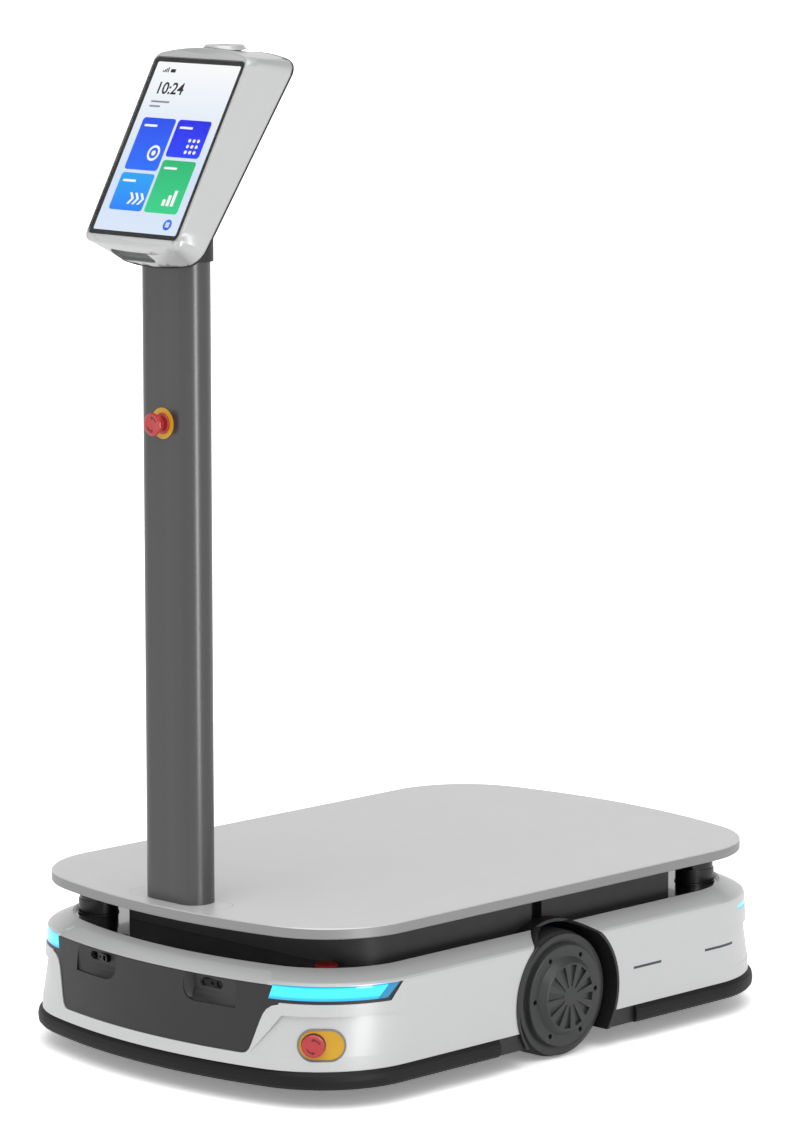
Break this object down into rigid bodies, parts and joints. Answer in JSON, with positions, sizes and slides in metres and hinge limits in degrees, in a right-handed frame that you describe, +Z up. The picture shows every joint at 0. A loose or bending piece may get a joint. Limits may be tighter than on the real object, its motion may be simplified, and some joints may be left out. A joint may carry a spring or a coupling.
{
  "type": "autonomous mobile robot",
  "caption": "Low delivery robot with a flat load deck, mid drive wheels, swivel casters, corner lamps and an upright post with a tilted touch screen.",
  "frame": {"origin": "on the ground under the centre of the overall box, midway between the two drive wheels across and 4.35 mm forward of their axle", "axes": "+Z up, -Y the front where the post and screen stand, X across with +X the robot's left as it faces forward"},
  "size_m": [0.626, 0.9645, 1.3285],
  "materials": {
    "deck_aluminium": "satin anodised",
    "dark_anodised": "satin anodised",
    "black_plastic": "moulded",
    "silver_paint": "satin paint",
    "black_rubber": "matt",
    "screen_glass": "gloss, dark border print behind a clear cover",
    "display": "lit panel",
    "dark_glass": "gloss",
    "yellow_plastic": "moulded",
    "red_plastic": "moulded",
    "gloss_black": "gloss",
    "steel": "zinc plated",
    "grey_plastic": "moulded",
    "dark_steel": "powder coat",
    "battery_case": "moulded",
    "aluminium_case": "anodised",
    "cyan_lens": "lit diffuser",
    "caster_tread": "polyurethane tread",
    "tyre_rubber": "matt",
    "hub_aluminium": "cast, painted",
    "cover_grey": "satin dark grey",
    "black_steel": "black oxide"
  },
  "bodies": {
    "chassis": {"deck_plate": "deck_aluminium", "pole_foot": "deck_aluminium", "pole": "dark_anodised", "pole_socket": "black_plastic", "head_shell": "silver_paint", "head_gasket": "black_rubber", "head_back": "silver_paint", "screen_glass": "screen_glass", "display_panel": "display", "camera_ring": "silver_paint", "camera_lens": "dark_glass", "pole_stop_ring": "yellow_plastic", "pole_stop_base": "red_plastic", "top_cover": "gloss_black", "tub": "black_plastic", "lidar_front": "gloss_black", "lidar_rear": "gloss_black", "body_shell_front": "silver_paint", "body_shell_rear": "silver_paint", "front_panel": "gloss_black", "camera_left": "gloss_black", "camera_right": "gloss_black", "corner_stop_base": "grey_plastic", "corner_stop_plate": "yellow_plastic", "bumper_front": "black_rubber", "bumper_rear": "black_rubber", "base_pan": "dark_steel", "battery_pack": "battery_case", "main_computer": "aluminium_case", "caster_plates": "steel", "lamp_front_left": "cyan_lens", "lamp_front_right": "cyan_lens", "lamp_rear_left": "cyan_lens", "lamp_rear_right": "cyan_lens", "arch_trim_left": "black_plastic", "motor_left": "steel", "arch_trim_right": "black_plastic", "motor_right": "steel"},
    "drive_wheel_left": {"tyre_left": "tyre_rubber", "hub_left": "hub_aluminium", "wheel_cover_left": "cover_grey", "cover_screws_left": "black_steel"},
    "drive_wheel_right": {"tyre_right": "tyre_rubber", "hub_right": "hub_aluminium", "wheel_cover_right": "cover_grey", "cover_screws_right": "black_steel"},
    "caster_swivel_front_left": {"caster_fork_front_left": "steel"},
    "caster_roller_front_left": {"caster_wheel_front_left": "caster_tread"},
    "caster_swivel_front_right": {"caster_fork_front_right": "steel"},
    "caster_roller_front_right": {"caster_wheel_front_right": "caster_tread"},
    "caster_swivel_rear_left": {"caster_fork_rear_left": "steel"},
    "caster_roller_rear_left": {"caster_wheel_rear_left": "caster_tread"},
    "caster_swivel_rear_right": {"caster_fork_rear_right": "steel"},
    "caster_roller_rear_right": {"caster_wheel_rear_right": "caster_tread"},
    "pole_stop_shaft": {"pole_stop_plunger": "red_plastic"},
    "pole_stop_knob": {"pole_stop_head": "red_plastic"},
    "corner_stop_shaft": {"corner_stop_plunger": "red_plastic"},
    "corner_stop_knob": {"corner_stop_head": "red_plastic"},
    "power_button": {"power_cap": "red_plastic"}
  },
  "joints": [
    {"name": "drive_left_spin", "type": "hinge", "parent": "chassis", "child": "drive_wheel_left", "pos_m": [-0.27, 0.00435, 0.0845], "axis": [1, 0, 0], "continuous": true},
    {"name": "drive_right_spin", "type": "hinge", "parent": "chassis", "child": "drive_wheel_right", "pos_m": [0.27, 0.00435, 0.0845], "axis": [1, 0, 0], "continuous": true},
    {"name": "caster_front_left_swivel", "type": "hinge", "parent": "chassis", "child": "caster_swivel_front_left", "pos_m": [-0.19, -0.30565, 0.0795], "axis": [0, 0, 1], "continuous": true},
    {"name": "caster_front_left_roll", "type": "hinge", "parent": "caster_swivel_front_left", "child": "caster_roller_front_left", "pos_m": [-0.19, -0.28565, 0.0275], "axis": [1, 0, 0], "continuous": true},
    {"name": "caster_front_right_swivel", "type": "hinge", "parent": "chassis", "child": "caster_swivel_front_right", "pos_m": [0.19, -0.30565, 0.0795], "axis": [0, 0, 1], "continuous": true},
    {"name": "caster_front_right_roll", "type": "hinge", "parent": "caster_swivel_front_right", "child": "caster_roller_front_right", "pos_m": [0.19, -0.28565, 0.0275], "axis": [1, 0, 0], "continuous": true},
    {"name": "caster_rear_left_swivel", "type": "hinge", "parent": "chassis", "child": "caster_swivel_rear_left", "pos_m": [-0.19, 0.31435, 0.0795], "axis": [0, 0, 1], "continuous": true},
    {"name": "caster_rear_left_roll", "type": "hinge", "parent": "caster_swivel_rear_left", "child": "caster_roller_rear_left", "pos_m": [-0.19, 0.33435, 0.0275], "axis": [1, 0, 0], "continuous": true},
    {"name": "caster_rear_right_swivel", "type": "hinge", "parent": "chassis", "child": "caster_swivel_rear_right", "pos_m": [0.19, 0.31435, 0.0795], "axis": [0, 0, 1], "continuous": true},
    {"name": "caster_rear_right_roll", "type": "hinge", "parent": "caster_swivel_rear_right", "child": "caster_roller_rear_right", "pos_m": [0.19, 0.33435, 0.0275], "axis": [1, 0, 0], "continuous": true},
    {"name": "pole_stop_press", "type": "slide", "parent": "chassis", "child": "pole_stop_shaft", "axis": [0, 1, 0], "range_m": [0, 0.004]},
    {"name": "pole_stop_twist", "type": "hinge", "parent": "pole_stop_shaft", "child": "pole_stop_knob", "pos_m": [0, -0.42525, 0.8535], "axis": [0, -1, 0], "range_deg": [0, 45], "stiffness_Nm_per_rad": 0.05},
    {"name": "corner_stop_press", "type": "slide", "parent": "chassis", "child": "corner_stop_shaft", "axis": [-0.6794, 0.7337, 0], "range_m": [0, 0.004]},
    {"name": "corner_stop_twist", "type": "hinge", "parent": "corner_stop_shaft", "child": "corner_stop_knob", "pos_m": [0.25396, -0.41044, 0.0831], "axis": [0.6794, -0.7337, 0], "range_deg": [0, 45], "stiffness_Nm_per_rad": 0.05},
    {"name": "power_press", "type": "slide", "parent": "chassis", "child": "power_button", "axis": [0, 0, -1], "range_m": [0, 0.0015], "stiffness_N_per_m": 800}
  ]
}
